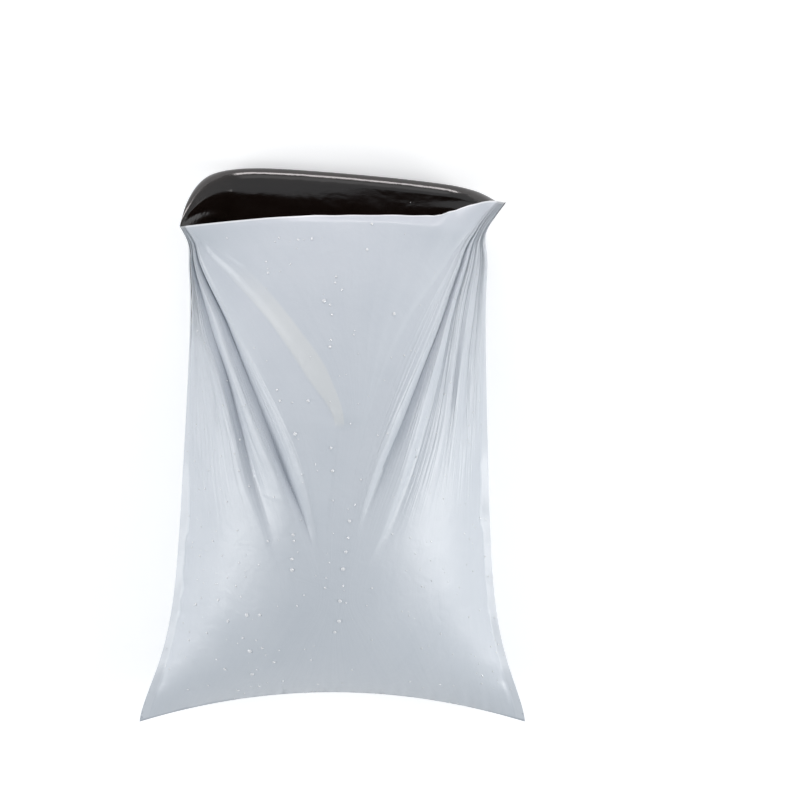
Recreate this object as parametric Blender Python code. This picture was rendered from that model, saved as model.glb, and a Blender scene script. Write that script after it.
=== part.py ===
"""A poly mailer: one sheet of film folded at the bottom and welded down both sides,
lying on its back with its mouth drawn open at the corners and its flap rolled under.
X runs across the bag, +Y points out of the mouth and +Z up from the floor."""

import math

import bmesh
import bpy
from mathutils import Matrix, Vector

# The flat bag, in metres
FLAT_WIDTH = 0.250
POCKET_LENGTH = 0.345
FLAP_LENGTH = 0.048
WELD_MARGIN = 0.006
FILM_WALL = 0.0004  # heavier than the real film of 0.06 mm, so that it stays a sound solid
SEAL_CLEARANCE = 0.0003

# How far the welds draw in as the bag fills, and where they stand above the floor
TIP_FLARE, TIP_REACH, TIP_SQUARENESS = 0.0200, 0.050, 1.5
TAPER = 0.045
MOUTH_FLARE, MOUTH_REACH = 0.0135, 0.025
LEAN, MOUTH_LEAN = 0.0165, 0.0025
TIP_HEIGHT = 0.020
WELD_HEIGHT, HEIGHT_REACH = 0.042, 0.045
MOUTH_HEIGHT = 0.053

# How far each panel swells away from the welds
FRONT_CROWN, CROWN_RISE, CROWN_FADE = 0.061, 0.028, 0.070
LIP_CROWN = 0.003
BACK_SAG, SAG_RISE = 0.062, 0.030

# The run of the bottom fold, the lip and the back edge in plan
BOTTOM_ARCH = 0.0180
PLAN_LENGTH = 0.3365
LIP_TILT, LIP_ARCH = 0.0075, 0.0029
BACK_REACH, BACK_REACH_TILT = 0.0096, -0.018
BACK_SQUARENESS, BACK_EASE = 4, 4  # how squarely the back edge runs out past the lip, and how late

# The flap's roll, and the self-seal strip near its edge
ROLL_RADIUS, CORNER_RADIUS = 0.0065, 0.0012
CORNER_SHARE = 0.35  # the share of the half width over which the roll tightens towards a corner
FLAP_TUCK = 0.12  # how much narrower than the mouth the flap lies, once it is rolled under
GLUE_WIDTH, GLUE_WALL = 0.016, 0.00035
LINER_WIDTH, LINER_WALL = 0.022, 0.00035
SEAL_FROM_EDGE = 0.004
SEAL_END_COLUMN = 2  # the film's column, counted from either weld, at which the strips end

# The folds that fan out from each pinched corner, from the weld to the middle: where each
# one dies, as a share of the half width and of the pocket's length, and how far it stands out
LEFT_FOLDS = (
    (0.90, 0.50, 0.0),
    (0.80, 0.44, 0.0010),
    (0.68, 0.35, -0.0010),
    (0.58, 0.29, 0.0026),
    (0.51, 0.27, -0.0036),
    (0.43, 0.26, 0.0040),
    (0.34, 0.30, 0.0002),
    (0.25, 0.30, -0.0054),
    (0.19, 0.29, 0.0030),
    (0.12, 0.45, 0.0004),
    (0.06, 0.54, -0.0016),
    (0.00, 0.54, 0.0034),
)
RIGHT_FOLDS = (
    (0.93, 0.52, 0.0012),
    (0.86, 0.48, -0.0036),
    (0.77, 0.44, 0.0012),
    (0.68, 0.40, -0.0008),
    (0.62, 0.38, 0.0026),
    (0.52, 0.34, 0.0008),
    (0.44, 0.30, -0.0006),
    (0.37, 0.25, -0.0044),
    (0.31, 0.33, 0.0034),
    (0.25, 0.36, -0.0046),
    (0.17, 0.34, 0.0042),
)
MIDDLE_LINES = (0.040, 0.085, 0.130)  # columns between the two fans, at the bottom
MIDDLE_END = 0.60
LIP_BUNCH = 0.009  # how closely the fans crowd at the lip, as a share of the half width
WELD_EDGE = 0.0006  # the first column inside each weld
FAN_EASE = 0.2  # how much faster the fans open at the pinch than at their ends
FOLD_PEAK = 0.7  # below 1 puts a fold's highest place nearer to the pinch

PANEL_ROWS = 28
ROW_EVENNESS = 0.45  # 1 spaces the rows evenly, 0 crowds them at both ends
ROLL_ROWS, GLUE_ROWS = 5, 3
SHARP_ANGLE = math.radians(50)
SLOPE_STEP, SLOPE_SHARE = 0.0005, 0.002  # how far apart the points are that give a panel's slope

# Each piece's colour and roughness
FILM_FINISH = ((0.61, 0.65, 0.70), 0.35)
GLUE_FINISH = ((0.70, 0.66, 0.50), 0.20)
LINER_FINISH = ((0.80, 0.82, 0.84), 0.30)

HALF_POCKET = FLAT_WIDTH / 2 - WELD_MARGIN
SEAL_STACK = GLUE_WALL + LINER_WALL + 2 * SEAL_CLEARANCE
FLAP_LIFT = 2 * ROLL_RADIUS + SEAL_STACK
TINY = 1e-6


def smooth_step(x):
    x = min(max(x, 0.0), 1.0)
    return x * x * (3 - 2 * x)


def near_mouth(along, reach):
    return math.exp(-(POCKET_LENGTH - along) / reach)


def half_chord(along):
    """Half the distance between the welds, at this distance from the bottom fold."""
    tip = 1 - math.exp(-((along / TIP_REACH) ** TIP_SQUARENESS))
    drawn_in = TIP_FLARE * tip + TAPER * along
    return HALF_POCKET - drawn_in + MOUTH_FLARE * near_mouth(along, MOUTH_REACH)


def middle_x(along):
    return LEAN * along + MOUTH_LEAN * near_mouth(along, MOUTH_REACH)


def weld_height(along):
    rise = (WELD_HEIGHT - TIP_HEIGHT) * (1 - math.exp(-along / HEIGHT_REACH))
    lift = MOUTH_HEIGHT - WELD_HEIGHT
    return TIP_HEIGHT + rise + lift * near_mouth(along, HEIGHT_REACH)


def plan_y(across, along):
    share = along / POCKET_LENGTH
    bottom = BOTTOM_ARCH * (1 - across**2)
    mouth = PLAN_LENGTH + LIP_TILT * across + LIP_ARCH * (1 - across**2)
    return bottom + (mouth - bottom) * share - PLAN_LENGTH / 2


def bowed(across, half, height):
    """A point on a round bow between the welds: its distance from the middle and its rise."""
    if height < TINY:
        return half * across, 0.0
    angle = 2 * math.atan(height / half)
    rise = (math.cos(angle * across) - math.cos(angle)) / (1 - math.cos(angle))
    return half * math.sin(angle * across) / math.sin(angle), height * rise


def front_point(across, along):
    swell = (1 - math.exp(-along / CROWN_RISE)) * (1 - near_mouth(along, CROWN_FADE))
    crown = FRONT_CROWN * swell + LIP_CROWN * near_mouth(along, MOUTH_REACH)
    x, rise = bowed(across, half_chord(along), crown if along > 0 else 0.0)
    return Vector((middle_x(along) + x, plan_y(across, along), weld_height(along) + rise))


def back_point(across, along):
    sag = BACK_SAG * (1 - math.exp(-along / SAG_RISE))
    x, drop = bowed(across, half_chord(along), sag)
    to_flap = 1 - (POCKET_LENGTH - along) / (2 * FLAP_LENGTH)
    floor = FILM_WALL + (FLAP_LIFT - FILM_WALL) * smooth_step(2 * to_flap)
    reach = BACK_REACH + BACK_REACH_TILT * across
    beyond = reach * (1 - abs(across) ** BACK_SQUARENESS) * (along / POCKET_LENGTH) ** BACK_EASE
    height = weld_height(along)
    z = max(height - drop, min(floor, height))
    return Vector((middle_x(along) + x, plan_y(across, along) + beyond, z))


def along_and_out(panel, across, along):
    """The film's direction towards the mouth and its outward normal."""
    towards = panel(across, along + SLOPE_STEP) - panel(across, along - SLOPE_STEP)
    sideways = panel(across + SLOPE_SHARE, along) - panel(across - SLOPE_SHARE, along)
    out = sideways.cross(towards)
    if panel is back_point:
        out = -out
    return towards.normalized(), out.normalized()


def fold_swell(end, start_along, height):
    """How far a fold stands out: nothing at the pinch, most on the way, nothing at its end."""
    share = (POCKET_LENGTH - start_along) / (POCKET_LENGTH * (1 - end))
    return height * math.sin(math.pi * share**FOLD_PEAK) if 0 < share < 1 else 0.0


def columns():
    """The film's columns from left to right, each as its share of the half width at the bottom
    fold, at the lip and at the back edge, with the end and the height of the fold along it."""
    edge = WELD_EDGE / HALF_POCKET
    found = [(-1.0, -1.0, MIDDLE_END, 0.0), (edge - 1, edge - 1, MIDDLE_END, 0.0)]
    for i, (dies, end, height) in enumerate(LEFT_FOLDS):
        found.append((-dies, LIP_BUNCH * (i + 1) - 1, end, height))
    for i, dies in enumerate(MIDDLE_LINES):
        found.append((dies, 2 * (i + 1) / (len(MIDDLE_LINES) + 1) - 1, MIDDLE_END, 0.0))
    for i, (dies, end, height) in reversed(list(enumerate(RIGHT_FOLDS))):
        found.append((dies, 1 - LIP_BUNCH * (i + 1), end, height))
    found += [(1 - edge, 1 - edge, MIDDLE_END, 0.0), (1.0, 1.0, MIDDLE_END, 0.0)]
    inner = len(found) - 3
    backs = [-1.0, edge - 1, *(2 * i / inner - 1 for i in range(1, inner)), 1 - edge, 1.0]
    return [(line[0], line[1], back, *line[2:]) for line, back in zip(found, backs)]


def rows():
    """Distances from the bottom fold, closer together at both ends."""
    shares = (i / PANEL_ROWS for i in range(PANEL_ROWS + 1))
    crowding = 1 - ROW_EVENNESS
    return [POCKET_LENGTH * (ROW_EVENNESS * s + crowding * smooth_step(s)) for s in shares]


def film_point(column, panel, along, wall):
    """The film's inner face at a column and a distance from the fold, or its outer face with a wall."""
    bottom, lip, back, end, height = column
    if panel is front_point:
        fanned = min((POCKET_LENGTH - along) / (POCKET_LENGTH * (1 - end)), 1.0)
        across = lip + (bottom - lip) * fanned * (1 + FAN_EASE * (1 - fanned))
    else:
        across = back + (bottom - back) * (1 - along / POCKET_LENGTH)
    place = panel(across, along)
    if wall and abs(bottom) == 1:
        place.x += math.copysign(WELD_MARGIN, bottom)
        return place - Vector((0, wall, 0)) if along == 0 else place
    if along == 0:
        return place - Vector((0, wall, 0))
    out = along_and_out(panel, across, along)[1]
    if panel is front_point:
        place += out * fold_swell(end, along, height)
    return place + out * wall


def flap_point(across, distance, wall):
    """The flap rolls back from the mouth's edge and lies under the back panel. Its roll is tight
    at the pinched corners."""
    turned = min(distance / ROLL_RADIUS, math.pi)
    along = POCKET_LENGTH - max(distance - math.pi * ROLL_RADIUS, 0)
    across *= 1 - FLAP_TUCK * smooth_step(turned / math.pi)
    towards, out = along_and_out(back_point, across, along)
    opened = smooth_step((1 - abs(across)) / CORNER_SHARE)
    radius = CORNER_RADIUS + (ROLL_RADIUS - CORNER_RADIUS) * opened
    centre = back_point(across, along) + out * radius
    arm = radius - wall
    return centre + arm * (towards * math.sin(turned) - out * math.cos(turned))


def seal_rows():
    """Distances along the flap from the mouth: the liner's edges, with the glue's rows between."""
    start = FLAP_LENGTH - SEAL_FROM_EDGE - LINER_WIDTH
    overhang = (LINER_WIDTH - GLUE_WIDTH) / 2
    glue = [start + overhang + GLUE_WIDTH * i / GLUE_ROWS for i in range(GLUE_ROWS + 1)]
    return [start, *glue, start + LINER_WIDTH]


def finish(name, colour, roughness):
    material = bpy.data.materials.new(name)
    material.use_nodes = True
    shader = material.node_tree.nodes["Principled BSDF"]
    shader.inputs["Base Color"].default_value = (*colour, 1)
    shader.inputs["Roughness"].default_value = roughness
    shader.inputs["Metallic"].default_value = 0.0
    return material


def shaped_grid(bm, cells, place):
    """A flat grid whose crossings are moved to place(column, row), and those crossings by column
    and row. Every cell is split along the same diagonal, so that sheets one above another keep
    their gap."""
    scale = Matrix.Diagonal((cells[0] / 2, cells[1] / 2, 1, 1))
    grid = bmesh.ops.create_grid(bm, x_segments=cells[0], y_segments=cells[1], size=1, matrix=scale)
    cells_made = list({face for vert in grid["verts"] for face in vert.link_faces})
    crossings = {}
    for vert in grid["verts"]:
        column = round(vert.co.x + cells[0] / 2)
        row = round(vert.co.y + cells[1] / 2)
        vert.co = place(column, row)
        crossings[column, row] = vert
    bmesh.ops.triangulate(bm, faces=cells_made, quad_method="FIXED")
    return crossings


def open_sides(crossings, cells, first_open_row):
    """The runs of crossings along a grid's free edges; its sides are welded up to a row."""
    wide, long = cells
    return (
        [crossings[column, 0] for column in range(wide + 1)],
        [crossings[column, long] for column in range(wide + 1)],
        [crossings[0, row] for row in range(first_open_row, long + 1)],
        [crossings[wide, row] for row in range(first_open_row, long + 1)],
    )


def sheet(name, cells, place, walls, colours, first_open_row=0):
    """A closed sheet between two faces, place(column, row, wall) at each of two walls."""
    bm = bmesh.new()
    sides = []
    for wall in walls:
        crossings = shaped_grid(bm, cells, lambda column, row, wall=wall: place(column, row, wall))
        sides.append(open_sides(crossings, cells, first_open_row))
    for near, far in zip(*sides):
        rim = [bm.edges.get(pair) for run in (near, far) for pair in zip(run, run[1:])]
        bmesh.ops.bridge_loops(bm, edges=rim)
    bmesh.ops.remove_doubles(bm, verts=bm.verts, dist=TINY)
    bmesh.ops.recalc_face_normals(bm, faces=bm.faces)
    mesh = bpy.data.meshes.new(name)
    bm.to_mesh(mesh)
    bm.free()
    mesh.shade_smooth()
    mesh.set_sharp_from_angle(angle=SHARP_ANGLE)
    mesh.materials.append(finish(name, *colours))
    made = bpy.data.objects.new(name, mesh)
    bpy.context.collection.objects.link(made)
    return made


def bag_film():
    """The blank runs from the lip down the front, round the bottom fold, up the back and on."""
    lines, steps = columns(), rows()
    roll = math.pi * ROLL_RADIUS
    turns = [roll * (i + 1) / ROLL_ROWS for i in range(ROLL_ROWS)]
    turns += [*seal_rows(), FLAP_LENGTH]

    def place(column, row, wall):
        if row <= PANEL_ROWS:
            return film_point(lines[column], front_point, steps[PANEL_ROWS - row], wall)
        if row <= 2 * PANEL_ROWS:
            return film_point(lines[column], back_point, steps[row - PANEL_ROWS], wall)
        return flap_point(lines[column][2], turns[row - 2 * PANEL_ROWS - 1], wall)

    cells = (len(lines) - 1, 2 * PANEL_ROWS + len(turns))
    return sheet("bag_film", cells, place, (0.0, FILM_WALL), FILM_FINISH, 2 * PANEL_ROWS)


def seal_strip(name, distances, near, wall, colours):
    """A strip along the flap's inner face, on the film's own columns and rows so that it lies
    parallel to it; near is its distance from that face."""
    lines = columns()[SEAL_END_COLUMN:-SEAL_END_COLUMN]

    def place(column, row, depth):
        return flap_point(lines[column][2], distances[row], -depth)

    cells = (len(lines) - 1, len(distances) - 1)
    return sheet(name, cells, place, (near, near + wall), colours)


def centre_on_floor(film, pieces):
    """Moves every piece so that the origin is under the middle of the film's own box."""
    corners = [Vector(corner) for corner in film.bound_box]
    middle = (corners[0] + corners[6]) / 2
    for piece in pieces:
        piece.data.transform(Matrix.Translation((-middle.x, -middle.y, -corners[0].z)))


def build():
    for old in list(bpy.data.objects):
        bpy.data.objects.remove(old)
    film = bag_film()
    steps = seal_rows()
    glue_strip = seal_strip("glue_strip", steps[1:-1], SEAL_CLEARANCE, GLUE_WALL, GLUE_FINISH)
    under_glue = 2 * SEAL_CLEARANCE + GLUE_WALL
    release_liner = seal_strip("release_liner", steps, under_glue, LINER_WALL, LINER_FINISH)
    centre_on_floor(film, (film, glue_strip, release_liner))


build()
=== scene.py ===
"""The looks of a poly mailer that lies on its back: one folded and welded sheet of film,
pale outside and black inside, with its seal strip under the rolled flap."""
import math
import random

import bmesh
import bpy
from mathutils import Matrix, Vector, noise
from mathutils.bvhtree import BVHTree


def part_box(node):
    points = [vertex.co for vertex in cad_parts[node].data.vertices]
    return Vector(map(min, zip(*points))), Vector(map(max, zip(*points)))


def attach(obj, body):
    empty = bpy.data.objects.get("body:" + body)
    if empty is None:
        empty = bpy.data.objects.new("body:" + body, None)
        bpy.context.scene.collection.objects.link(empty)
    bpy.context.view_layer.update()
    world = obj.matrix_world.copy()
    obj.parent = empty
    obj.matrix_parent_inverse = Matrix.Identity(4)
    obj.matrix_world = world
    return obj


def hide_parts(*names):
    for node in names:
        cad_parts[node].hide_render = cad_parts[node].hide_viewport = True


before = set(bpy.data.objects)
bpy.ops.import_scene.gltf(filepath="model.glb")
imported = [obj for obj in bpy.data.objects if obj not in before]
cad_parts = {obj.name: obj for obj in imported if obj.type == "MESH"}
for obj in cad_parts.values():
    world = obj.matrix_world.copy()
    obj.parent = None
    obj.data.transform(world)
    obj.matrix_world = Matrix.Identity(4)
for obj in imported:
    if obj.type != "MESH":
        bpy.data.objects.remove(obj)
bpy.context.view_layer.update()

# The bag's form, as in the CAD
HALF_POCKET = 0.119
POCKET_LENGTH = 0.345
FLAP_LENGTH = 0.048
WELD_MARGIN = 0.006
CAD_WALL = 0.0004
WALL = 0.0003
TIP_FLARE, TIP_REACH, TIP_SQUARENESS = 0.0200, 0.050, 1.5
TAPER = 0.045
MOUTH_FLARE, MOUTH_REACH = 0.0135, 0.025
LEAN, MOUTH_LEAN = 0.0165, 0.0025
TIP_HEIGHT = 0.020
WELD_HEIGHT, HEIGHT_REACH = 0.042, 0.045
MOUTH_HEIGHT = 0.053
FRONT_CROWN, CROWN_RISE, CROWN_FADE = 0.061, 0.028, 0.070
LIP_CROWN = 0.003
BACK_SAG, SAG_RISE = 0.062, 0.030
BOTTOM_ARCH = 0.0180
PLAN_LENGTH = 0.3365
LIP_TILT, LIP_ARCH = 0.0075, 0.0029
BACK_REACH, BACK_REACH_TILT = 0.0096, -0.018
BACK_SQUARENESS, BACK_EASE = 4, 4
ROLL_RADIUS, CORNER_RADIUS = 0.0065, 0.0012
CORNER_SHARE = 0.35  # the share of the half width over which the roll tightens towards a corner
FLAP_TUCK = 0.12  # how much narrower than the mouth the flap lies, once it is rolled under
SEAL_CLEARANCE = 0.0003
GLUE_WIDTH, GLUE_WALL = 0.016, 0.00035
LINER_WIDTH, LINER_WALL = 0.022, 0.00035
SEAL_FROM_EDGE = 0.004
FLAP_LIFT = 2 * ROLL_RADIUS + GLUE_WALL + LINER_WALL + 2 * SEAL_CLEARANCE
FLOOR_ROUND = 0.006  # how softly the back panel leaves the floor
SHIFT_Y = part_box("bag_film")[0].y + PLAN_LENGTH / 2 + CAD_WALL

# How far the lip dips from a straight line, at shares of the half width
LIP_DIP = (
    (-1.0, 0.0), (-0.5, 0.0003), (-0.2, 0.0010), (0.0, 0.0022), (0.25, 0.0034),
    (0.48, 0.0050), (0.57, 0.0058), (0.67, 0.0040), (0.78, 0.0022), (0.9, 0.0010), (1.0, 0.0),
)
DIP_REACH = 0.030

# The waist under each corner of the mouth: its depth as a share of the half width, its
# distance from the mouth and its length
LEFT_WAIST = (0.022, 0.013, 0.010)
RIGHT_WAIST = (0.048, 0.021, 0.013)

# The band along the lip that turns down: at shares of the half width, its width and its slope
BAND_WIDTHS = (
    (-1.0, 0.003), (0.0, 0.0044), (0.14, 0.0052), (0.33, 0.0064), (0.52, 0.0085), (0.64, 0.0108),
    (0.74, 0.0165), (1.0, 0.020),
)
BAND_SLOPES = ((-1.0, 0.08), (-0.4, 0.15), (0.1, 0.50), (0.55, 0.64), (0.74, 0.52), (1.0, 0.34))
BAND_BEND = 1.05  # above 1 makes the band's slope start softly

# Each fold line's distance from its weld, as a share of the half width, at these shares of
# the way from the mouth to the bottom; then its end on that way, the share of its length over
# which it dies away, and its height in metres
STATIONS = (0.0, 0.05, 0.10, 0.20, 0.30, 0.40, 0.50, 0.60, 0.74, 0.85, 1.0)
LEFT_LINES = (
    ((0.003, 0.006, 0.010, 0.020, 0.030, 0.040, 0.045, 0.050, 0.055, 0.055, 0.055), 0.95, 0.5, -0.0004),
    ((0.008, 0.012, 0.022, 0.105, 0.270, 0.380, 0.470, 0.590, 0.690, 0.570, 0.380), 0.66, 0.4, 0.0028),
    ((0.013, 0.020, 0.045, 0.166, 0.320, 0.431, 0.531, 0.640, 0.755, 0.640, 0.450), 0.69, 0.40, -0.0042),
    ((0.018, 0.030, 0.074, 0.240, 0.392, 0.540, 0.690, 0.800, 0.915, 0.760, 0.530), 0.70, 0.45, 0.0038),
    ((0.024, 0.046, 0.103, 0.296, 0.465, 0.610, 0.735, 0.860, 0.948, 0.810, 0.610), 0.69, 0.34, -0.0048),
    ((0.030, 0.066, 0.140, 0.358, 0.565, 0.732, 0.848, 0.910, 0.966, 0.850, 0.690), 0.66, 0.26, 0.0042),
    ((0.042, 0.105, 0.265, 0.594, 0.825, 1.000, 0.985, 0.965, 0.982, 0.895, 0.770), 0.405, 0.06, -0.0008),
    ((0.056, 0.190, 0.430, 0.745, 0.965, 1.055, 1.030, 1.000, 0.992, 0.935, 0.840), 0.405, 0.06, 0.0017),
)
RIGHT_LINES = (
    ((0.003, 0.006, 0.010, 0.018, 0.025, 0.035, 0.040, 0.045, 0.050, 0.050, 0.050), 0.95, 0.5, 0.0006),
    ((0.007, 0.016, 0.040, 0.085, 0.140, 0.167, 0.207, 0.245, 0.280, 0.260, 0.190), 0.46, 0.2, -0.0027),
    ((0.011, 0.024, 0.066, 0.135, 0.215, 0.261, 0.311, 0.360, 0.410, 0.380, 0.270), 0.48, 0.3, 0.0025),
    ((0.015, 0.034, 0.090, 0.185, 0.251, 0.301, 0.369, 0.456, 0.530, 0.450, 0.330), 0.62, 0.3, -0.0008),
    ((0.018, 0.042, 0.104, 0.208, 0.275, 0.325, 0.400, 0.485, 0.560, 0.480, 0.360), 0.62, 0.3, 0.0012),
    ((0.022, 0.052, 0.125, 0.248, 0.356, 0.456, 0.566, 0.690, 0.830, 0.650, 0.460), 0.70, 0.34, -0.0025),
    ((0.027, 0.062, 0.145, 0.282, 0.410, 0.517, 0.610, 0.720, 0.860, 0.700, 0.500), 0.67, 0.34, 0.0032),
    ((0.032, 0.072, 0.168, 0.315, 0.475, 0.612, 0.745, 0.840, 0.910, 0.780, 0.590), 0.64, 0.34, -0.0026),
    ((0.037, 0.084, 0.190, 0.352, 0.526, 0.673, 0.790, 0.870, 0.930, 0.820, 0.650), 0.62, 0.30, 0.0036),
    ((0.047, 0.120, 0.270, 0.550, 0.720, 0.820, 0.885, 0.915, 0.955, 0.890, 0.770), 0.28, 0.5, 0.0010),
)
# How many columns of faces lie between each line and the one before it, from the weld inwards
LEFT_CELLS = (3, 14, 5, 7, 8, 9, 14, 9)
RIGHT_CELLS = (3, 9, 6, 4, 3, 7, 6, 8, 6, 9)
MIDDLE_CELLS = 44
FIN_CELLS = 3
# The share of the way to the bottom in which a fold gains its height, left and right
LEFT_RISE, RIGHT_RISE = 0.24, 0.36
RISE_BEND = 0.8  # below 1 makes a fold gain its height early
GROOVE_BEND = 1.45  # above 1 makes the grooves narrow and the crests broad
FOLD_ROUNDING = 0.15  # the share that each neighbouring column has in a rounded fold
FOLD_LEAN = 0.3  # the share of the film's sideways slope that its folds follow
FIN_TURNED, FIN_FLAT = 0.22, 0.62  # the shares of the way down between which the margins open out
FIN_SLOPE, FIN_TURN = math.radians(24), math.radians(80)
WELD_EDGE = 0.0006
CLEAR_EDGES = 1.5  # how many such edges lie at least between a panel's end and its next column
TIP_POINT, TIP_POINT_REACH = 0.0018, 0.010  # how far the margins run on to a point at the bottom

# Every kind of wrinkle: its height in metres, how fast it changes in its two directions, and
# its place in the noise
GATHERS = (0.0009, 260, 4, 1.7)  # fine lines along the folds
BILLOWS = (0.00055, 2.6, 5.5, 4.2)  # broad and shallow, over the whole front
PUCKERS = (0.0022, 24, 3.1, 7.7)  # short ones along the bottom fold
CRUMPLES = (0.0024, 130, 0.3, 11.5)  # along the welds
CREASES = (0.0016, 5.5, 9, 20)  # from the mouth's corners over the back
BACK_BILLOWS = (0.0004, 4.5, 30, 8.8)
FLUTTERS = ((0.0008, 75, 3.0, 2.2), (0.0012, 22, 1, 5.9))  # of the margins' free edges
FLUTTER_GROWTH = 1.2  # above 1 makes them reach their height before the edge

# Where the fans of gathers lie, as shares of the half width and of the way down
FAN_MIDDLE, FAN_SPREAD = 0.75, 0.35
FAN_START, FAN_END, FAN_FADE = 0.08, 0.62, 0.3
# Where the film's grain is gathered too: the shares of the half width, counted from the weld, at
# which this has begun and ended and over which it ends; then the same two ends on the way down
GRAIN_START, GRAIN_END, GRAIN_FADE = 0.1, 0.76, 0.12
GRAIN_BOTTOM, GRAIN_BOTTOM_FADE = 0.66, 0.3
# Shares of the half width over which relief fades out at the welds
BILLOW_EDGE, PUCKER_EDGE, BAND_EDGE, BACK_EDGE = 0.15, 0.2, 0.08, 0.1
# How far from the bottom fold, the weld or the mouth's corner relief starts, and its reach
PUCKER_START, PUCKER_REACH = 0.003, 0.009
CRUMPLE_START, CRUMPLE_REACH, CRUMPLE_BOTTOM = 0.002, 0.007, 0.018
CREASE_START, CREASE_REACH = 0.012, 0.075
BACK_BOTTOM = 0.02
CRUMPLES_ABOVE = 0.35  # the crumples' strength in the upper part, as a share
CRUMPLES_FROM, CRUMPLES_GROW = 0.35, 0.3  # where on the way down they grow to full strength

PANEL_ROWS = 106
ROLL_ROWS, TAIL_ROWS = 8, 6
# How far apart the rows are near the mouth, in the middle and near the bottom, in proportion
MOUTH_SPACING, SPACING, BOTTOM_SPACING = 0.24, 1.0, 0.4
MOUTH_DENSE, BOTTOM_DENSE = 0.016, 0.014
SPACING_ROUNDS = 30  # how often the rows are spaced anew until they settle
SLOPE_STEP, SLOPE_SHARE = 0.0005, 0.002
TINY = 1e-7
MERGE = 1e-6  # crossings nearer than this are one
SHARP_ANGLE = math.radians(60)


def smooth_step(x):
    x = min(max(x, 0.0), 1.0)
    return x * x * (3 - 2 * x)


def bell(x, reach):
    return math.exp(-((x / reach) ** 2))


def decay(x, reach):
    return math.exp(-x / reach)


def between(table, x):
    """The value of a table of (place, value) at x, on a smooth run between its points."""
    for (x0, y0), (x1, y1) in zip(table, table[1:]):
        if x <= x1:
            return y0 + (y1 - y0) * smooth_step((x - x0) / (x1 - x0))
    return table[-1][1]


# The panels

def near_mouth(along, reach):
    return decay(POCKET_LENGTH - along, reach)


def way_down(along):
    """The share of the way from the mouth to the bottom fold."""
    return 1 - along / POCKET_LENGTH


def fin_angle(along):
    """How far the welded margins are turned down: most at the mouth, where the film is gathered."""
    turned = smooth_step((FIN_FLAT - way_down(along)) / (FIN_FLAT - FIN_TURNED))
    return (FIN_SLOPE + (FIN_TURN - FIN_SLOPE) * turned) * smooth_step(along / TIP_REACH)


def half_chord(along):
    tip = 1 - math.exp(-((along / TIP_REACH) ** TIP_SQUARENESS))
    drawn_in = TIP_FLARE * tip + TAPER * along
    turned_in = WELD_MARGIN * (1 - math.cos(fin_angle(along)))
    return HALF_POCKET - drawn_in + MOUTH_FLARE * near_mouth(along, MOUTH_REACH) + turned_in


def waisted(across, along):
    """How much the gathered corners draw a place in towards the middle, as a factor."""
    deep, place, reach = LEFT_WAIST if across < 0 else RIGHT_WAIST
    return 1 - deep * bell(POCKET_LENGTH - along - place, reach)


def middle_x(along):
    return LEAN * along + MOUTH_LEAN * near_mouth(along, MOUTH_REACH)


def weld_height(along):
    rise = (WELD_HEIGHT - TIP_HEIGHT) * (1 - decay(along, HEIGHT_REACH))
    return TIP_HEIGHT + rise + (MOUTH_HEIGHT - WELD_HEIGHT) * near_mouth(along, HEIGHT_REACH)


def plan_y(across, along):
    bottom = BOTTOM_ARCH * (1 - across**2)
    mouth = PLAN_LENGTH + LIP_TILT * across + LIP_ARCH * (1 - across**2)
    return bottom + (mouth - bottom) * along / POCKET_LENGTH - PLAN_LENGTH / 2 + SHIFT_Y


def bowed(across, half, height):
    """A point on a round bow between the welds: its distance from the middle and its rise."""
    if height < TINY:
        return half * across, 0.0
    angle = 2 * math.atan(height / half)
    rise = (math.cos(angle * across) - math.cos(angle)) / (1 - math.cos(angle))
    return half * math.sin(angle * across) / math.sin(angle), height * rise


def front_point(across, along):
    """A place on the front panel, at a share of the half width and a distance from the bottom."""
    swell = (1 - decay(along, CROWN_RISE)) * (1 - near_mouth(along, CROWN_FADE))
    crown = FRONT_CROWN * swell + LIP_CROWN * near_mouth(along, MOUTH_REACH)
    x, rise = bowed(across, half_chord(along), crown)
    dip = between(LIP_DIP, across) * near_mouth(along, DIP_REACH)
    x = middle_x(along) + x * waisted(across, along)
    return Vector((x, plan_y(across, along) - dip, weld_height(along) + rise))


def back_point(across, along):
    """A place on the back panel, which rests on the floor and, near the mouth, on the flap."""
    sag = BACK_SAG * (1 - decay(along, SAG_RISE))
    x, drop = bowed(across, half_chord(along), sag)
    over_flap = smooth_step(2 - (POCKET_LENGTH - along) / FLAP_LENGTH)
    floor = WALL + (FLAP_LIFT - WALL) * over_flap
    reach = BACK_REACH + BACK_REACH_TILT * across
    beyond = reach * (1 - abs(across) ** BACK_SQUARENESS) * (along / POCKET_LENGTH) ** BACK_EASE
    height = weld_height(along)
    clear = height - drop - floor
    soft = 0.5 * (math.hypot(clear, FLOOR_ROUND) - abs(clear)) * smooth_step((1 - abs(across)) / BACK_EDGE)
    z = max(height - drop, min(floor, height)) + soft * smooth_step(sag / BACK_SAG)
    return Vector((middle_x(along) + x * waisted(across, along), plan_y(across, along) + beyond, z))


def along_and_out(panel, across, along):
    """The film's direction towards the mouth and its outward normal."""
    towards = panel(across, along + SLOPE_STEP) - panel(across, along - SLOPE_STEP)
    sideways = panel(across + SLOPE_SHARE, along) - panel(across - SLOPE_SHARE, along)
    out = sideways.cross(towards)
    if panel is not front_point:
        out = -out
    return towards.normalized(), out.normalized()


# The columns and rows of the blank

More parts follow.
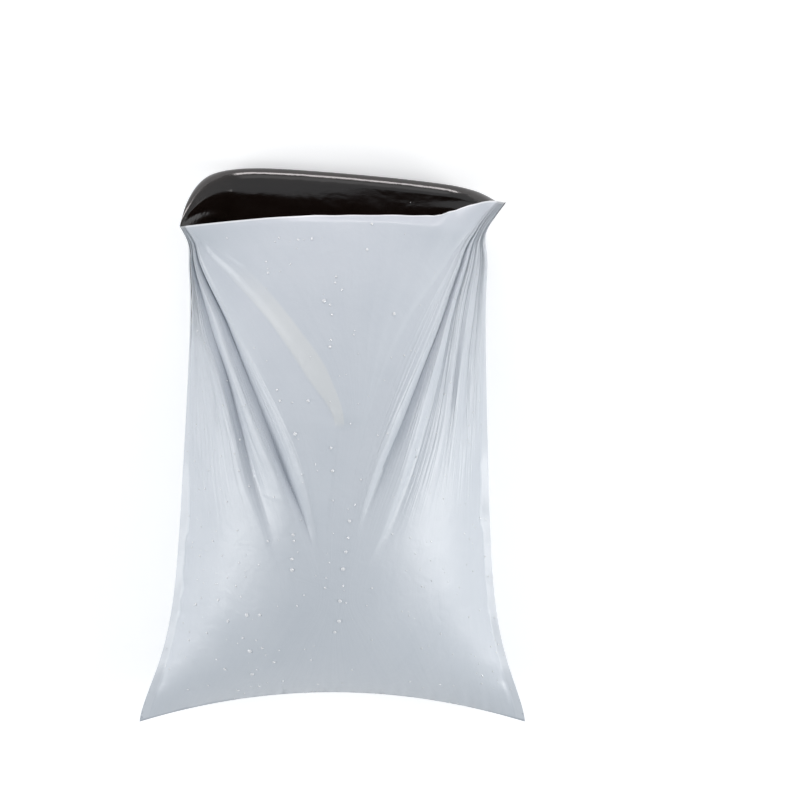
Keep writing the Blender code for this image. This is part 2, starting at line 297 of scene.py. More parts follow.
def line_place(shares, down):
    """A fold line's distance from its weld, on a smooth curve that never turns back on itself."""
    spans = [b - a for a, b in zip(STATIONS, STATIONS[1:])]
    slopes = [(b - a) / span for a, b, span in zip(shares, shares[1:], spans)]
    i = max(k for k in range(len(spans)) if k == 0 or down > STATIONS[k])
    tangents = []
    for k in (i, i + 1):
        before, after = slopes[max(k - 1, 0)], slopes[min(k, len(slopes) - 1)]
        tangents.append(2 * before * after / (before + after) if before * after > 0 else 0.0)
    t = (down - STATIONS[i]) / spans[i]
    start = shares[i] * (1 + 2 * t) * (1 - t) ** 2 + tangents[0] * spans[i] * t * (1 - t) ** 2
    return start + shares[i + 1] * t * t * (3 - 2 * t) + tangents[1] * spans[i] * t * t * (t - 1)


def fold_height(end, fade, height, down, risen):
    rise = min(down / risen, 1.0) ** RISE_BEND
    return height * rise * smooth_step((end - down) / (fade * end))


def between_folds(start, finish, share):
    """The height between two fold lines: it leaves a groove steeply and meets a crest gently."""
    if start > finish:
        return between_folds(finish, start, 1 - share)
    bend = GROOVE_BEND if start < 0 else 1.0
    return start + (finish - start) * (1 - (1 - share) ** bend)


def fold_stops(lines, down, risen):
    """Each fold line's distance from its weld and its height, at one share of the way down."""
    return [(line_place(shares, down), fold_height(*form, down, risen)) for shares, *form in lines]


def front_column(down):
    """Every column's share of the half width and its fold height, at one share of the way down."""
    left = [(place - 1, height) for place, height in fold_stops(LEFT_LINES, down, LEFT_RISE)]
    right = [(1 - place, height) for place, height in fold_stops(RIGHT_LINES, down, RIGHT_RISE)]
    stops = [(-1.0, 0.0), *left, *reversed(right), (1.0, 0.0)]
    cells = (*LEFT_CELLS, MIDDLE_CELLS, *reversed(RIGHT_CELLS))
    found = [stops[0]]
    for (u0, h0), (u1, h1), count in zip(stops, stops[1:], cells):
        for i in range(1, count + 1):
            found.append((u0 + (u1 - u0) * i / count, between_folds(h0, h1, i / count)))
    edge = WELD_EDGE / HALF_POCKET
    fin = [edge * (1 - i / FIN_CELLS) for i in range(FIN_CELLS + 1)]
    clear = CLEAR_EDGES * edge
    body = [(max(min(u, 1 - clear), clear - 1), h) for u, h in found[1:-1]]
    return [(f - 1, 0.0) for f in reversed(fin)] + body + [(1 - f, 0.0) for f in fin]


def rounded(heights):
    """Heights across the folds with their crests and grooves rounded a little."""
    last = len(heights) - 1
    own = 1 - 2 * FOLD_ROUNDING
    return [
        FOLD_ROUNDING * heights[max(i - 1, 0)] + own * heights[i] + FOLD_ROUNDING * heights[min(i + 1, last)]
        for i in range(last + 1)
    ]


def row_spacing(down):
    """How far apart the rows are at a distance from the mouth, in proportion."""
    mouth = (SPACING - MOUTH_SPACING) * bell(down, MOUTH_DENSE)
    bottom = (SPACING - BOTTOM_SPACING) * bell(POCKET_LENGTH - down, BOTTOM_DENSE)
    return SPACING - mouth - bottom


def panel_rows():
    """Distances from the bottom fold, from 0 to the mouth."""
    sizes = [1.0] * PANEL_ROWS
    for _ in range(SPACING_ROUNDS):
        down, total = 0.0, sum(sizes)
        for i in range(PANEL_ROWS):
            step = POCKET_LENGTH * sizes[i] / total
            sizes[i] = row_spacing(down + step / 2)
            down += step
    total, found = sum(sizes), [POCKET_LENGTH]
    for size in sizes:
        found.append(found[-1] - POCKET_LENGTH * size / total)
    found[-1] = 0.0
    return found[::-1]


BOTTOM_SHARES = [u for u, _ in front_column(1.0)]
COLUMNS = len(BOTTOM_SHARES)
STEPS = panel_rows()
ROLL = math.pi * ROLL_RADIUS
FLAP_STEPS = [ROLL * (i + 1) / ROLL_ROWS for i in range(ROLL_ROWS)]
FLAP_STEPS += [ROLL + (FLAP_LENGTH - ROLL) * (i + 1) / TAIL_ROWS for i in range(TAIL_ROWS)]


def back_share(column):
    """A column's share of the half width at the back edge, where the columns are evenly spread."""
    if column <= FIN_CELLS or column >= COLUMNS - 1 - FIN_CELLS:
        return BOTTOM_SHARES[column]
    inner = COLUMNS - 1 - 2 * FIN_CELLS
    return 2 * (column - FIN_CELLS) / inner - 1


def fin_share(column):
    """How far out on the weld's margin a column lies: 0 on the pocket, 1 at the film's edge."""
    outer = max(FIN_CELLS - column, column - (COLUMNS - 1 - FIN_CELLS))
    return max(outer, 0) / FIN_CELLS


# Wrinkles, each as a height over the film

def wrinkle(kind, x, y, turn=0):
    """The height of one kind of wrinkle at a place."""
    height, rate_x, rate_y, seed = kind
    return height * noise.noise(Vector((x * rate_x, y * rate_y, seed + turn)))


def front_wrinkles(column, across, along):
    """The front panel's small wrinkles and the band along its lip, at a column, its share of the
    half width and a distance from the bottom fold."""
    down = way_down(along)
    inside = 1 - abs(across)
    from_weld = inside * HALF_POCKET
    fans = bell(abs(across) - FAN_MIDDLE, FAN_SPREAD) * smooth_step(down / FAN_START)
    fans *= smooth_step((FAN_END - down) / FAN_FADE)
    height = fans * wrinkle(GATHERS, BOTTOM_SHARES[column] * HALF_POCKET, down)
    height += wrinkle(BILLOWS, across, down) * smooth_step(inside / BILLOW_EDGE)
    bottom = decay(along, PUCKER_REACH) * smooth_step(along / PUCKER_START)
    height += wrinkle(PUCKERS, across, 1) * bottom * smooth_step(inside / PUCKER_EDGE)
    grown = CRUMPLES_ABOVE + (1 - CRUMPLES_ABOVE) * smooth_step((down - CRUMPLES_FROM) / CRUMPLES_GROW)
    weld = decay(from_weld, CRUMPLE_REACH) * smooth_step(from_weld / CRUMPLE_START)
    height += grown * wrinkle(CRUMPLES, along, across) * weld * smooth_step(along / CRUMPLE_BOTTOM)
    width = between(BAND_WIDTHS, across)
    band = max(1 - (POCKET_LENGTH - along) / width, 0.0)
    return height - between(BAND_SLOPES, across) * width * band**BAND_BEND * smooth_step(inside / BAND_EDGE)


def back_wrinkles(across, along):
    """Creases that run out from both corners of the mouth over the back panel."""
    height = abs(wrinkle(BACK_BILLOWS, across, along))
    down = POCKET_LENGTH - along
    for side in (-1, 1):
        away = (1 - side * across) * half_chord(along)
        reach = math.hypot(away, down)
        turn = math.atan2(down, max(away, TINY))
        fan = smooth_step(reach / CREASE_START) * bell(reach, CREASE_REACH)
        height += fan * wrinkle(CREASES, turn, reach, side)
    return height * smooth_step((1 - abs(across)) / BACK_EDGE) * smooth_step(along / BACK_BOTTOM)


def front_grid():
    """The inner face of the front panel as rows of places, from the lip to the bottom fold."""
    grid = []
    for along in reversed(STEPS):
        column_line = front_column(way_down(along))
        heights = rounded([h for _, h in column_line])
        row = []
        for column, (across, _) in enumerate(column_line):
            place = front_point(across, along)
            if along > 0 and fin_share(column) == 0:
                out = along_and_out(front_point, across, along)[1]
                upright = Vector((out.x * FOLD_LEAN, out.y, out.z)).normalized()
                place += upright * heights[column] + out * front_wrinkles(column, across, along)
            row.append(place)
        grid.append(row)
    return grid


def back_grid():
    """The inner face of the back panel, from above the bottom fold to the mouth."""
    grid = []
    for along in STEPS[1:]:
        share = along / POCKET_LENGTH
        row = []
        for column in range(COLUMNS):
            bottom = BOTTOM_SHARES[column]
            across = back_share(column) + (bottom - back_share(column)) * (1 - share)
            place = back_point(across, along)
            if fin_share(column) in (0, 1) and abs(across) != 1:
                place -= along_and_out(back_point, across, along)[1] * back_wrinkles(across, along)
            row.append(place)
        grid.append(row)
    return grid


def flap_point(across, distance, wall):
    """The flap rolls back from the mouth's edge and lies under the back panel. Its roll is tight
    at the pinched corners."""
    turned = min(distance / ROLL_RADIUS, math.pi)
    along = POCKET_LENGTH - max(distance - ROLL, 0)
    across *= 1 - FLAP_TUCK * smooth_step(turned / math.pi)
    towards, out = along_and_out(back_point, across, along)
    opened = smooth_step((1 - abs(across)) / CORNER_SHARE)
    radius = CORNER_RADIUS + (ROLL_RADIUS - CORNER_RADIUS) * opened
    centre = back_point(across, along) + out * radius
    arm = radius - wall
    place = centre + arm * (towards * math.sin(turned) - out * math.cos(turned))
    return place - out * back_wrinkles(across, POCKET_LENGTH) * max(1 - 2 * distance / ROLL, 0.0)


def flap_grid():
    shares = [back_share(column) for column in range(COLUMNS)]
    return [[flap_point(share, distance, 0.0) for share in shares] for distance in FLAP_STEPS]


INNER = front_grid() + back_grid() + flap_grid()
ROWS = len(INNER)
FOLD_ROW = PANEL_ROWS
MOUTH_ROW = 2 * PANEL_ROWS


def outward(row, column):
    """The outward normal of the folded film at a crossing of its grid."""
    if row == FOLD_ROW:
        return Vector((0, -1, 0))
    first, last = (0, FOLD_ROW) if row < FOLD_ROW else (FOLD_ROW, ROWS - 1)
    above, below = INNER[max(row - 1, first)][column], INNER[min(row + 1, last)][column]
    left, right = INNER[row][max(column - 1, 0)], INNER[row][min(column + 1, COLUMNS - 1)]
    return (right - left).cross(above - below).normalized()


def outer_place(row, column):
    """The outer face of the film; on the margins, where both panels are welded, their one edge."""
    place = INNER[row][column]
    share = fin_share(column)
    if not share or row > MOUTH_ROW:
        return place + outward(row, column) * WALL
    side = -1 if column < FIN_CELLS else 1
    along = STEPS[abs(FOLD_ROW - row)]
    angle = fin_angle(along)
    shift = WELD_MARGIN * share * Vector((side * math.cos(angle), 0, -math.sin(angle)))
    flutter = sum(wrinkle(kind, place.y, side) for kind in FLUTTERS)
    shift.z += smooth_step(share * FLUTTER_GROWTH) * flutter
    if share < 1 and row != FOLD_ROW:
        up = 1 if row < FOLD_ROW else -1
        shift += up * WALL / 2 * Vector((side * math.sin(angle), 0, math.cos(angle)))
    if row == FOLD_ROW:
        shift.y -= WALL
    shift.y -= TIP_POINT * share * decay(along, TIP_POINT_REACH)
    return place + shift


def inner_place(row, column):
    return INNER[row][column]


def blank_place(row, column):
    """Where a crossing lies on the flat film, counted from the bottom fold, with the front panel
    below nought, and how far it takes part in the folds."""
    side = -1 if column <= FIN_CELLS else 1
    share = fin_share(column)
    flat_x = side * (HALF_POCKET + share * WELD_MARGIN) if share else BOTTOM_SHARES[column] * HALF_POCKET
    if row > MOUTH_ROW:
        return Vector((flat_x, POCKET_LENGTH + FLAP_STEPS[row - MOUTH_ROW - 1], 0))
    along = STEPS[abs(FOLD_ROW - row)]
    if row >= FOLD_ROW:
        return Vector((flat_x, along, 0))
    inside = 1 - abs(BOTTOM_SHARES[column])
    fan = smooth_step(inside / GRAIN_START) * smooth_step((GRAIN_END - inside) / GRAIN_FADE)
    gathered = fan * smooth_step((GRAIN_BOTTOM - way_down(along)) / GRAIN_BOTTOM_FADE)
    return Vector((flat_x, -along, gathered))


# Sheets

def shaped_grid(bm, cells, place, blank, slot):
    """A flat grid whose crossings are moved to place(row, column), and those crossings."""
    crossings = {}
    scale = Matrix.Diagonal((cells[0] / 2, cells[1] / 2, 1, 1))
    grid = bmesh.ops.create_grid(bm, x_segments=cells[0], y_segments=cells[1], size=1, matrix=scale)
    layer = bm.verts.layers.float_vector["blank"]
    for vert in grid["verts"]:
        column = round(vert.co.x + cells[0] / 2)
        row = round(vert.co.y + cells[1] / 2)
        vert[layer] = blank(row, column)
        vert.co = place(row, column)
        crossings[row, column] = vert
    for face in {face for vert in grid["verts"] for face in vert.link_faces}:
        face.material_index = slot
    return crossings


def open_sides(crossings, cells, first_open_row):
    """The runs of crossings along a grid's free edges; its sides are welded up to a row."""
    wide, long = cells
    return (
        [crossings[0, column] for column in range(wide + 1)],
        [crossings[long, column] for column in range(wide + 1)],
        [crossings[row, 0] for row in range(first_open_row, long + 1)],
        [crossings[row, wide] for row in range(first_open_row, long + 1)],
    )


def closed_sheet(name, cells, inner, outer, blank, materials, first_open_row=0):
    """A closed sheet between an inner and an outer face, of which the inner one has the last
    material. Its faces point outwards."""
    bm = bmesh.new()
    bm.verts.layers.float_vector.new("blank")
    near = open_sides(shaped_grid(bm, cells, inner, blank, len(materials) - 1), cells, first_open_row)
    far = open_sides(shaped_grid(bm, cells, outer, blank, 0), cells, first_open_row)
    for pair in zip(near, far):
        rim = [bm.edges.get(ends) for run in pair for ends in zip(run, run[1:])]
        for face in bmesh.ops.bridge_loops(bm, edges=rim)["faces"]:
            face.material_index = 0
    bmesh.ops.remove_doubles(bm, verts=bm.verts, dist=MERGE)
    bmesh.ops.recalc_face_normals(bm, faces=bm.faces)
    if bm.calc_volume(signed=True) < 0:
        bmesh.ops.reverse_faces(bm, faces=bm.faces)
    return finished(name, bm, materials)


def finished(name, bm, materials):
    mesh = bpy.data.meshes.new(name)
    bm.to_mesh(mesh)
    bm.free()
    mesh.shade_smooth()
    mesh.set_sharp_from_angle(angle=SHARP_ANGLE)
    for material in materials:
        mesh.materials.append(material)
    made = bpy.data.objects.new(name, mesh)
    bpy.context.scene.collection.objects.link(made)
    return made


# Nodes

def joined(tree, kind, inputs=(), **settings):
    """A node with its settings, whose inputs are plain values or other nodes' outputs."""
    node = tree.nodes.new(kind)
    for key, value in settings.items():
        setattr(node, key, value)
    for socket, value in dict(inputs).items():
        if isinstance(value, bpy.types.NodeSocket):
            tree.links.new(value, node.inputs[socket])
        else:
            node.inputs[socket].default_value = value
    return node


def math_node(tree, operation, *values):
    return joined(tree, "ShaderNodeMath", enumerate(values), operation=operation).outputs[0]


def noise_node(tree, vector, scale, detail, **sockets):
    inputs = {"Vector": vector, "Scale": scale, "Detail": detail, **sockets}
    return joined(tree, "ShaderNodeTexNoise", inputs).outputs["Fac"]


def scaled(tree, vector, factors):
    return joined(tree, "ShaderNodeVectorMath", {0: vector, 1: factors}, operation="MULTIPLY").outputs[0]


def ramp(tree, value, start, finish, ends=(0.0, 1.0), **settings):
    """A value that runs from one end to the other while the input goes from start to finish."""
    inputs = {"Value": value, "From Min": start, "From Max": finish, "To Min": ends[0], "To Max": ends[1]}
    return joined(tree, "ShaderNodeMapRange", inputs, **settings).outputs[0]


def mixed(tree, share, first, second):
    inputs = {"Factor": share, "A": first, "B": second}
    return joined(tree, "ShaderNodeMix", inputs, data_type="RGBA").outputs["Result"]


def new_group(name, inputs, outputs):
    """An empty node group with named (name, type) inputs and number outputs, its entry and end."""
    group = bpy.data.node_groups.new(name, "ShaderNodeTree")
    for port, kind in inputs:
        group.interface.new_socket(port, in_out="INPUT", socket_type=kind)
    for port in outputs:
        group.interface.new_socket(port, in_out="OUTPUT", socket_type="NodeSocketFloat")
    return group, group.nodes.new("NodeGroupInput").outputs, group.nodes.new("NodeGroupOutput").inputs


def new_material(name, roughness, **sockets):
    material = bpy.data.materials.new(name)
    material.use_nodes = True
    shader = material.node_tree.nodes["Principled BSDF"]
    shader.inputs["Roughness"].default_value = roughness
    for key, value in sockets.items():
        shader.inputs[key.replace("_", " ")].default_value = value
    return material, material.node_tree, shader


# Finishes

# The grain's sizes over the surface, and over the flat film across and along it
CLOUD_SCALE, FINE_SCALE, BROAD_SCALE = 26.0, 240.0, 60.0
STREAK_SCALE, DRAWN_SCALE = (420.0, 9.0, 0.0), (620.0, 11.0, 0.0)
# How much each part of the relief has, next to the broad crinkles
FINE_RELIEF, STREAK_RELIEF, DRAWN_RELIEF = 0.25, 0.12, 2.0
CLOUD_SHARE = 0.7  # how much of the tone comes from the clouds, and the rest from the streaks
CLOUD_LOW, CLOUD_HIGH = 0.3, 0.7  # the cloud values between which the roughness runs

# The long facet that runs from the left corner, painted paler as a painted reflection on its flat face: its
# place on the flat film, how soft its sides are, and how softly it ends
FACET_X, FACET_Y = (-0.0272, -0.0192), (-0.2045, -0.325)
FACET_SOFT, FACET_END, FACET_START = 0.0007, 0.006, 0.050

# How far from the weld, the lip or the bottom fold each mask runs from nothing to full
MARGIN_SHEEN_RUN = (-0.0003, 0.0004)
LIP_HIGHLIGHT_RUN = (0.0014, 0.0006)
WELD_RUN = (0.0007, 0.0)
FOLD_SHADE_RUN = (0.0016, 0.0004)

# How strongly each mask tints the outer film, and in which colour: the weld's line is a darker mark, and the
# others are painted light
EDGE_TINTS_AND_PAINTED_LIGHT = (
    # painted sheen: the welded margins are painted paler, as if lit from the side
    ("Margin", 0.16, (0.78, 0.80, 0.83, 1)),
    ("Weld", 0.16, (0.50, 0.54, 0.60, 1)),
    # painted highlight along the lip
    ("LipHighlight", 0.85, (0.90, 0.91, 0.93, 1)),
    # painted reflection on the long facet
    ("FacetReflection", 0.5, (0.76, 0.765, 0.75, 1)),
    # painted shade along the bottom fold
    ("FoldShade", 0.6, (0.33, 0.36, 0.41, 1)),
)


def film_texture():
    """The film's grain: its cloudiness, the streaks it was drawn with, and its crinkles."""
    ports = (("Position", "NodeSocketVector"), ("Blank", "NodeSocketVector"), ("Crinkle", "NodeSocketFloat"))
    group, entry, end = new_group("film_texture", ports, ("Cloud", "Streak", "Height"))
    cloud = noise_node(group, entry["Position"], CLOUD_SCALE, 3.0)
    streak = noise_node(group, scaled(group, entry["Blank"], STREAK_SCALE), 1.0, 2.0)
    fine = noise_node(group, entry["Position"], FINE_SCALE, 4.0, Roughness=0.6)
    broad = noise_node(group, entry["Position"], BROAD_SCALE, 2.0, Distortion=0.8)
    both = math_node(group, "ADD", broad, math_node(group, "MULTIPLY", fine, FINE_RELIEF))
    crinkled = math_node(group, "MULTIPLY", both, entry["Crinkle"])
    lined = math_node(group, "MULTIPLY", streak, STREAK_RELIEF)
    drawn = noise_node(group, scaled(group, entry["Blank"], DRAWN_SCALE), 1.0, 2.0, Roughness=0.55)
    gathered = joined(group, "ShaderNodeSeparateXYZ", {0: entry["Blank"]}).outputs["Z"]
    fanned = math_node(group, "MULTIPLY", drawn, math_node(group, "MULTIPLY", gathered, DRAWN_RELIEF))
    height = math_node(group, "ADD", math_node(group, "ADD", crinkled, lined), fanned)
    for port, value in (("Cloud", cloud), ("Streak", streak), ("Height", height)):
        group.links.new(value, end[port])
    return group


def film_edges_and_painted_light():
    """Where the outer film is doubled by the welds and painted paler there as a painted sheen, its weld line,
    a painted highlight along the lip, a painted reflection on the long facet and painted shade along the
    bottom fold.
    """
    names = ("Margin", "LipHighlight", "Weld", "FacetReflection", "FoldShade")
    group, entry, end = new_group("film_edges_and_painted_light", (("Blank", "NodeSocketVector"),), names)
    split = joined(group, "ShaderNodeSeparateXYZ", {0: entry["Blank"]})
    x, y = split.outputs["X"], split.outputs["Y"]
    past_weld = math_node(group, "SUBTRACT", math_node(group, "ABSOLUTE", x), HALF_POCKET)
    facet = 1.0
    for value, start, finish in (
        (x, FACET_X[0] - FACET_SOFT, FACET_X[0] + FACET_SOFT),
        (x, FACET_X[1] + FACET_SOFT, FACET_X[1] - FACET_SOFT),
        (y, FACET_Y[0], FACET_Y[0] - FACET_END),
        (y, FACET_Y[1], FACET_Y[1] + FACET_START),
    ):
        side = ramp(group, value, start, finish, interpolation_type="SMOOTHSTEP")
        facet = math_node(group, "MULTIPLY", side, facet)
    masks = (
        ramp(group, past_weld, *MARGIN_SHEEN_RUN),
        ramp(group, y, *(run - POCKET_LENGTH for run in LIP_HIGHLIGHT_RUN)),
        ramp(group, math_node(group, "ABSOLUTE", past_weld), *WELD_RUN),
        facet,
        ramp(group, math_node(group, "ABSOLUTE", y), *FOLD_SHADE_RUN),
    )
    for name, mask in zip(names, masks):
        group.links.new(mask, end[name])
    return group


FILM_TEXTURE = film_texture()
FILM_EDGES_AND_PAINTED_LIGHT = film_edges_and_painted_light()


def film_material(name, dark, light, roughness, crinkle, bump, edged=False, **sockets):
    """A film whose colour runs between two tones, with crinkles of a height in metres."""
    material, tree, shader = new_material(name, sum(roughness) / 2, **sockets)
    blank = joined(tree, "ShaderNodeAttribute", attribute_name="blank").outputs["Vector"]
    position = joined(tree, "ShaderNodeTexCoord").outputs["Object"]
    texture = joined(tree, "ShaderNodeGroup", node_tree=FILM_TEXTURE)
    texture.inputs["Crinkle"].default_value = crinkle
    tree.links.new(position, texture.inputs["Position"])
    tree.links.new(blank, texture.inputs["Blank"])
    cloud, streak, height = (texture.outputs[port] for port in ("Cloud", "Streak", "Height"))
    tone = math_node(tree, "ADD", math_node(tree, "MULTIPLY", cloud, CLOUD_SHARE),
                     math_node(tree, "MULTIPLY", streak, 1 - CLOUD_SHARE))
    colour = mixed(tree, tone, (*dark, 1), (*light, 1))
    # the masks add the weld's darker line and painted light: sheen on the margins, a highlight at the lip, a
    # reflection on the facet and shade at the bottom fold
    if edged:
        edges = joined(tree, "ShaderNodeGroup", node_tree=FILM_EDGES_AND_PAINTED_LIGHT)
        tree.links.new(blank, edges.inputs["Blank"])
        for port, share, tint in EDGE_TINTS_AND_PAINTED_LIGHT:
            colour = mixed(tree, math_node(tree, "MULTIPLY", edges.outputs[port], share), colour, tint)
    tree.links.new(colour, shader.inputs["Base Color"])
    tree.links.new(ramp(tree, cloud, CLOUD_LOW, CLOUD_HIGH, roughness), shader.inputs["Roughness"])
    relief = joined(tree, "ShaderNodeBump", {"Height": height, "Distance": bump, "Strength": 1.0})
    tree.links.new(relief.outputs[0], shader.inputs["Normal"])
    return material


OUTSIDE = film_material("film_outside", (0.57, 0.61, 0.665), (0.67, 0.70, 0.745), (0.30, 0.40), 0.65, 0.0006,
                        edged=True)
INSIDE = film_material("film_inside", (0.010, 0.0055, 0.004), (0.017, 0.0105, 0.008), (0.14, 0.24), 1.0,
                       0.0005, Specular_IOR_Level=0.8, Coat_Weight=0.35, Coat_Roughness=0.12)
ADHESIVE = film_material("seal_adhesive", (0.62, 0.54, 0.34), (0.75, 0.67, 0.47), (0.12, 0.30), 1.4, 0.0006)
LINER = film_material("seal_liner", (0.75, 0.77, 0.79), (0.85, 0.86, 0.88), (0.26, 0.42), 0.6, 0.0004)
# The beads are painted pale and nearly opaque: a painted highlight standing in for the light that water beads
# catch
WATER = new_material("water", 0.03, IOR=1.333, Alpha=0.8, Specular_IOR_Level=1.0, Coat_Weight=1.0,
                     Base_Color=(0.96, 0.97, 0.98, 1))[0]

# The bag
film = closed_sheet("mailer_film", (COLUMNS - 1, ROWS - 1), inner_place, outer_place, blank_place,
                    (OUTSIDE, INSIDE), MOUTH_ROW)
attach(film, "root")
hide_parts("bag_film")

# The seal strip and its liner, on the flap's own columns
SEAL_END_COLUMN = FIN_CELLS + 10
GLUE_ROWS = 6


def seal_rows():
    """Distances along the flap: the liner's edges, with the glue's rows between."""
    start = FLAP_LENGTH - SEAL_FROM_EDGE - LINER_WIDTH
    overhang = (LINER_WIDTH - GLUE_WIDTH) / 2
    glued = (start + overhang + GLUE_WIDTH * i / GLUE_ROWS for i in range(GLUE_ROWS + 1))
    return [start, *glued, start + LINER_WIDTH]


def seal_strip(name, distances, near, wall, material):
    spread = range(SEAL_END_COLUMN, COLUMNS - SEAL_END_COLUMN)

    def face(depth):
        return lambda row, column: flap_point(back_share(spread[column]), distances[row], -depth)

    def blank(row, column):
        return Vector((back_share(spread[column]) * HALF_POCKET, POCKET_LENGTH + distances[row], 0))

    cells = (len(spread) - 1, len(distances) - 1)
    return closed_sheet(name, cells, face(near), face(near + wall), blank, (material,))


seal_steps = seal_rows()
glue = seal_strip("seal_adhesive", seal_steps[1:-1], SEAL_CLEARANCE, GLUE_WALL, ADHESIVE)
liner = seal_strip("seal_liner", seal_steps, 2 * SEAL_CLEARANCE + GLUE_WALL, LINER_WALL, LINER)
for strip, node, slot in ((glue, "glue_strip", "adhesive"), (liner, "release_liner", "liner")):
    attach(strip, "root")
    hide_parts(node)

# Beads of water on the front panel: each as its place across and along in mm, and its width in mm
LARGE_BEADS = (
    (12.5, -28.2, 1.3), (11.6, -39.0, 1.0), (10.3, -48.0, 1.2), (8.4, -59.1, 1.5), (6.4, -80.3, 1.4),
    (5.7, -94.0, 1.5), (3.1, -101.8, 1.2), (-52.4, -93.4, 1.6), (-51.0, -118.7, 1.7), (-67.5, -134.5, 1.3),
    (-50.2, -137.1, 1.5), (-44.1, -92.3, 1.2), (-23.5, -53.3, 1.3), (-23.5, -60.5, 1.5), (-22.7, -37.5, 1.2),
    (-22.1, -41.4, 1.0), (-57.2, -59.6, 0.8), (-38.1, 123.3, 0.9), (0.6, 105.4, 0.9), (8.0, 114.4, 0.9),
    (-10.8, 143.9, 1.0), (-3.1, 107.7, 1.4), (40.2, 99.2, 1.3), (26.5, 152.6, 1.1), (23.5, 137.7, 1.1),
    (4.3, 122.0, 0.9), (3.7, 118.5, 0.9), (0.6, 80.3, 1.2), (1.2, 84.5, 0.9), (-21.1, 26.9, 1.4),
    (-13.1, 47.1, 1.2), (-30.5, 46.8, 1.0), (-56.1, 18.7, 0.9), (-56.7, -0.0, 0.9), (1.1, 18.0, 1.1),
    (2.3, 3.6, 1.1), (1.8, 99.5, 0.9), (-39.4, 129.7, 0.8), (-19.5, 143.2, 0.9), (-31.4, 144.1, 0.8),
    (1.7, 3.6, 1.0), (-32.3, 53.3, 0.9), (-79.1, -16.8, 0.8), (-85.8, -1.3, 0.7), (-64.6, -21.4, 0.8),
    (-74.1, -49.0, 0.9), (-82.9, -61.3, 0.9), (-88.4, -57.6, 0.8), (-38.6, -43.0, 0.9), (-71.1, -86.6, 1.1),
    (-59.3, -75.1, 0.9), (-64.8, -99.4, 1.2), (-78.7, -110.3, 0.9), (-85.8, -93.1, 1.1), (-90.8, -118.2, 0.9),
    (-55.3, -109.7, 0.9), (-43.2, -115.6, 1.1), (-35.8, -125.9, 1.2), (-60.1, -153.5, 1.2),
    (-46.3, -148.9, 1.0),
    (-30.7, -143.1, 0.8), (-12.3, -123.2, 0.9), (-2.9, -71.6, 0.9), (-20.6, -84.3, 0.8), (-8.5, -146.6, 0.9),
    (13.5, -131.7, 0.8), (26.3, -108.2, 0.7), (16.0, -17.9, 0.8), (19.7, -2.0, 0.8), (8.3, -70.3, 0.9),
)
MM = 1000  # in a metre
FINE_BEADS, FINE_WIDTHS = 260, (0.35, 0.75)
FINE_DRIFT = 0.7  # below 1 puts more of the fine beads low on the bag
# The chance that a fine bead stays in the middle, and how sharply it grows to 1 at the sides
FINE_IN_MIDDLE, SIDE_POWER = 0.25, 3
SPRAY_HALF, SPRAY_TOP, SPRAY_LENGTH = 104, 160, 318  # the area in mm on which they fall
# Its width at the top, what the bottom adds to it, and how late it widens
SPRAY_SPREAD, SPRAY_POWER = (0.92, 0.22), 4
EDGE_BEADS, EDGE_WIDTHS = 18, (0.6, 1.1)
EDGE_ACROSS, EDGE_AWAY = 0.8, (0.4, 1.6)  # how far across they lie, and from the fold in mm
BEAD_FLATNESS, BEAD_SIZE = 0.6, 1.7
BEAD_RISE = 0.25  # how far a bead's middle lies over the film, as a share of its height
FALL_HEIGHT = 0.3  # from where the beads' places are dropped on the film
LOWEST_BEAD, STEEPEST_BEAD = 0.01, 0.15  # the least height and the least upward share of the film


def bead_places():
    """The larger beads, then fine ones that gather towards the sides, and a row at the bottom fold."""
    chance = random.Random(41)
    found = list(LARGE_BEADS)
    while len(found) < len(LARGE_BEADS) + FINE_BEADS:
        across, down = chance.uniform(-1, 1), chance.random() ** FINE_DRIFT
        if chance.random() < FINE_IN_MIDDLE + (1 - FINE_IN_MIDDLE) * abs(across) ** SIDE_POWER:
            x = SPRAY_HALF * across * (SPRAY_SPREAD[0] + SPRAY_SPREAD[1] * down**SPRAY_POWER)
            found.append((x, SPRAY_TOP - SPRAY_LENGTH * down, chance.uniform(*FINE_WIDTHS)))
    for _ in range(EDGE_BEADS):
        across = chance.uniform(-EDGE_ACROSS, EDGE_ACROSS)
        edge = plan_y(across, 0) * MM + chance.uniform(*EDGE_AWAY)
        found.append((across * HALF_POCKET * MM, edge, chance.uniform(*EDGE_WIDTHS)))
    return found


def water_beads():
    """Low domes that stand square on the film below them."""
    body = bmesh.new()
    body.from_mesh(film.data)
    skin = BVHTree.FromBMesh(body)
    body.free()
    dome, bm = bmesh.new(), bmesh.new()
    bmesh.ops.create_uvsphere(dome, u_segments=8, v_segments=6, radius=1.0)
    shape = bpy.data.meshes.new("bead")
    dome.to_mesh(shape)
    dome.free()
    for x, y, width in bead_places():
        place, out, _, _ = skin.ray_cast(Vector((x / MM, y / MM, FALL_HEIGHT)), Vector((0, 0, -1)))
        if place is None or place.z < LOWEST_BEAD or out.z < STEEPEST_BEAD:
            continue
        radius = BEAD_SIZE * width / 2 / MM
        height = radius * BEAD_FLATNESS
        turn = out.to_track_quat("Z", "Y").to_matrix().to_4x4()
        size = Matrix.Diagonal((radius, radius, height, 1))
        sunk = Matrix.Translation(place + out * height * BEAD_RISE)
        before = len(bm.verts)
        bm.from_mesh(shape)
        bm.verts.ensure_lookup_table()
        bmesh.ops.transform(bm, matrix=sunk @ turn @ size, verts=bm.verts[before:])
    bpy.data.meshes.remove(shape)
    return finished("water_beads", bm, (WATER,))


beads = water_beads()
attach(beads, "root")

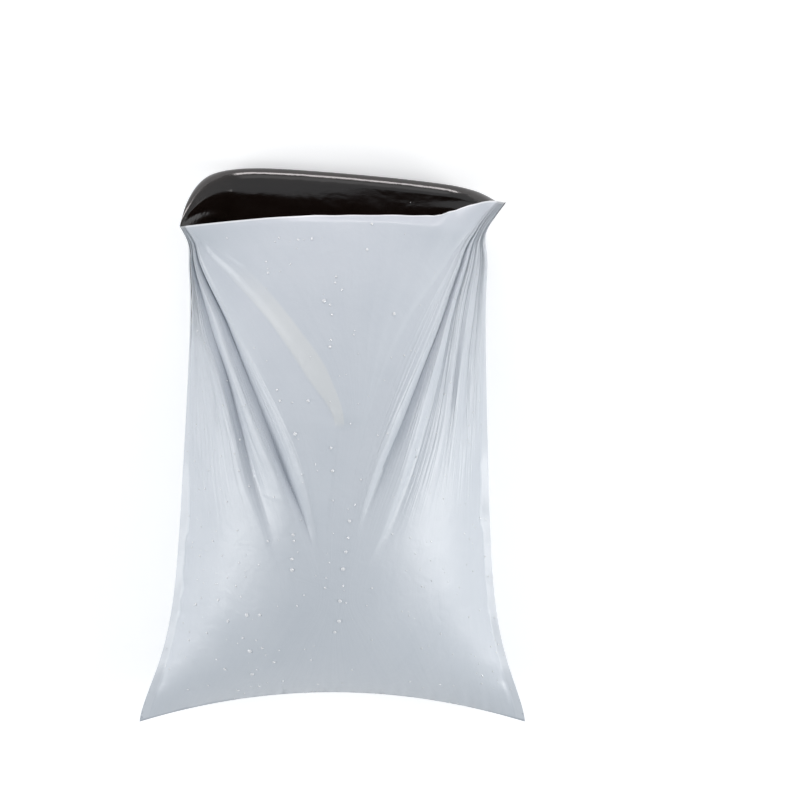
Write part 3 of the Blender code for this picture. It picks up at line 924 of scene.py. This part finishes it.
# The floor and the light
WHITE = (1, 1, 1, 1)
FLOOR_SIZE, FLOOR_DEPTH, FLOOR_GLOW = 6.0, 0.0003, 0.32
SKY, SKY_COLOUR = 0.46, (0.90, 0.955, 1.0, 1)
SIDE_COLOUR, EDGE_COLOUR = (1.0, 0.99, 0.975), (1.0, 0.94, 0.94)

bpy.ops.mesh.primitive_plane_add(size=FLOOR_SIZE, location=(0, 0, -FLOOR_DEPTH))
floor = bpy.context.object
floor.name = "floor"
floor_material, floor_tree, floor_shader = new_material(
    "floor_white", 0.9, Base_Color=(0.93, 0.93, 0.93, 1), Emission_Color=WHITE)
floor_seen = joined(floor_tree, "ShaderNodeLightPath").outputs["Is Camera Ray"]
floor_tree.links.new(math_node(floor_tree, "MULTIPLY", floor_seen, FLOOR_GLOW),
                     floor_shader.inputs["Emission Strength"])
floor.data.materials.append(floor_material)

# The sky lights the bag softly and is plain white where the camera sees it
world = bpy.data.worlds.new("studio")
world.use_nodes = True
bpy.context.scene.world = world
world_tree = world.node_tree
background = world_tree.nodes["Background"]
sky_seen = joined(world_tree, "ShaderNodeLightPath").outputs["Is Camera Ray"]
world_tree.links.new(mixed(world_tree, sky_seen, SKY_COLOUR, WHITE), background.inputs["Color"])
world_tree.links.new(math_node(world_tree, "MULTIPLY_ADD", sky_seen, 1 - SKY, SKY),
                     background.inputs["Strength"])


def soft_light(name, place, aim, size, power, colour=(1, 1, 1)):
    data = bpy.data.lights.new(name, "AREA")
    data.shape = "RECTANGLE"
    data.size, data.size_y = size
    data.energy = power
    data.color = colour
    lamp = bpy.data.objects.new(name, data)
    lamp.location = place
    lamp.rotation_euler = (Vector(place) - Vector(aim)).to_track_quat("Z", "Y").to_euler()
    bpy.context.scene.collection.objects.link(lamp)


soft_light("left_light", (-1.27, -0.24, 0.57), (0, -0.01, 0.05), (0.45, 0.9), 8.3, SIDE_COLOUR)
soft_light("right_light", (1.27, -0.25, 0.57), (0, -0.01, 0.05), (0.45, 0.9), 10.1, SIDE_COLOUR)
soft_light("back_light", (0.0, 0.95, 1.25), (0, 0.12, 0.03), (0.8, 0.7), 0.8)
soft_light("edge_light", (-0.10, 1.3, 0.37), (0, 0.17, 0.05), (0.8, 0.36), 7.0, EDGE_COLOUR)

# The view looks down on the bag, leaning towards its mouth
TILT = math.radians(12)
DISTANCE = 2.6
IMAGE_WIDTH = 800
PIXELS_PER_TANGENT = 4094.8
ASIDE, AIM_HEIGHT, AIM_UP = 0.04396, 0.04, 0.03563
AIM = Vector((ASIDE, 0.0, AIM_HEIGHT)) + Vector((0, math.cos(TILT), -math.sin(TILT))) * AIM_UP
lens = bpy.data.cameras.new("camera")
lens.sensor_width = 36
lens.lens = PIXELS_PER_TANGENT / IMAGE_WIDTH * lens.sensor_width
lens.clip_end = 20
eye = bpy.data.objects.new("camera", lens)
eye.location = AIM + Vector((0, math.sin(TILT), math.cos(TILT))) * DISTANCE
eye.rotation_euler = (-TILT, 0, 0)
bpy.context.scene.collection.objects.link(eye)
bpy.context.scene.camera = eye
bpy.context.scene.view_settings.view_transform = "Standard"
